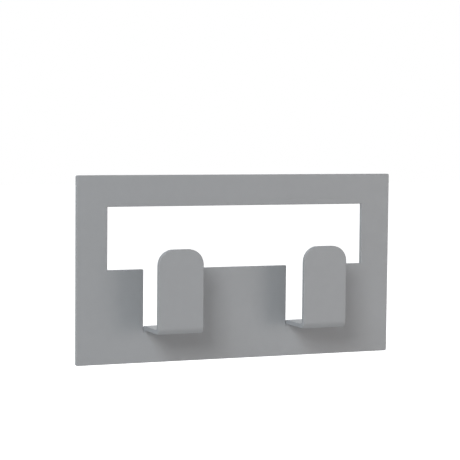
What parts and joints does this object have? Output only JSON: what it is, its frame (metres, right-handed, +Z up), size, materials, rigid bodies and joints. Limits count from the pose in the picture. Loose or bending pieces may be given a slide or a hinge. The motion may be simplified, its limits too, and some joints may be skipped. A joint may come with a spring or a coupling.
{
  "type": "double towel hook",
  "caption": "Wall hook for towels, folded from sheet metal: a flat plate with a wide window, and strips of the same sheet bent forward and up as round-tipped tongues.",
  "frame": {"origin": "on the flat back of the plate, on its centre line, half-way up the solid band under the window", "axes": "+X along the plate to the right as seen from the front, +Y into the wall, +Z up; the hooks stand out towards -Y"},
  "size_m": [0.11, 0.015, 0.06],
  "materials": {
    "grey_coating": "fine matt powder coating in mid grey over steel sheet, on every face and edge"
  },
  "bodies": {
    "root": {"hook_plate": "grey_coating"}
  },
  "joints": []
}
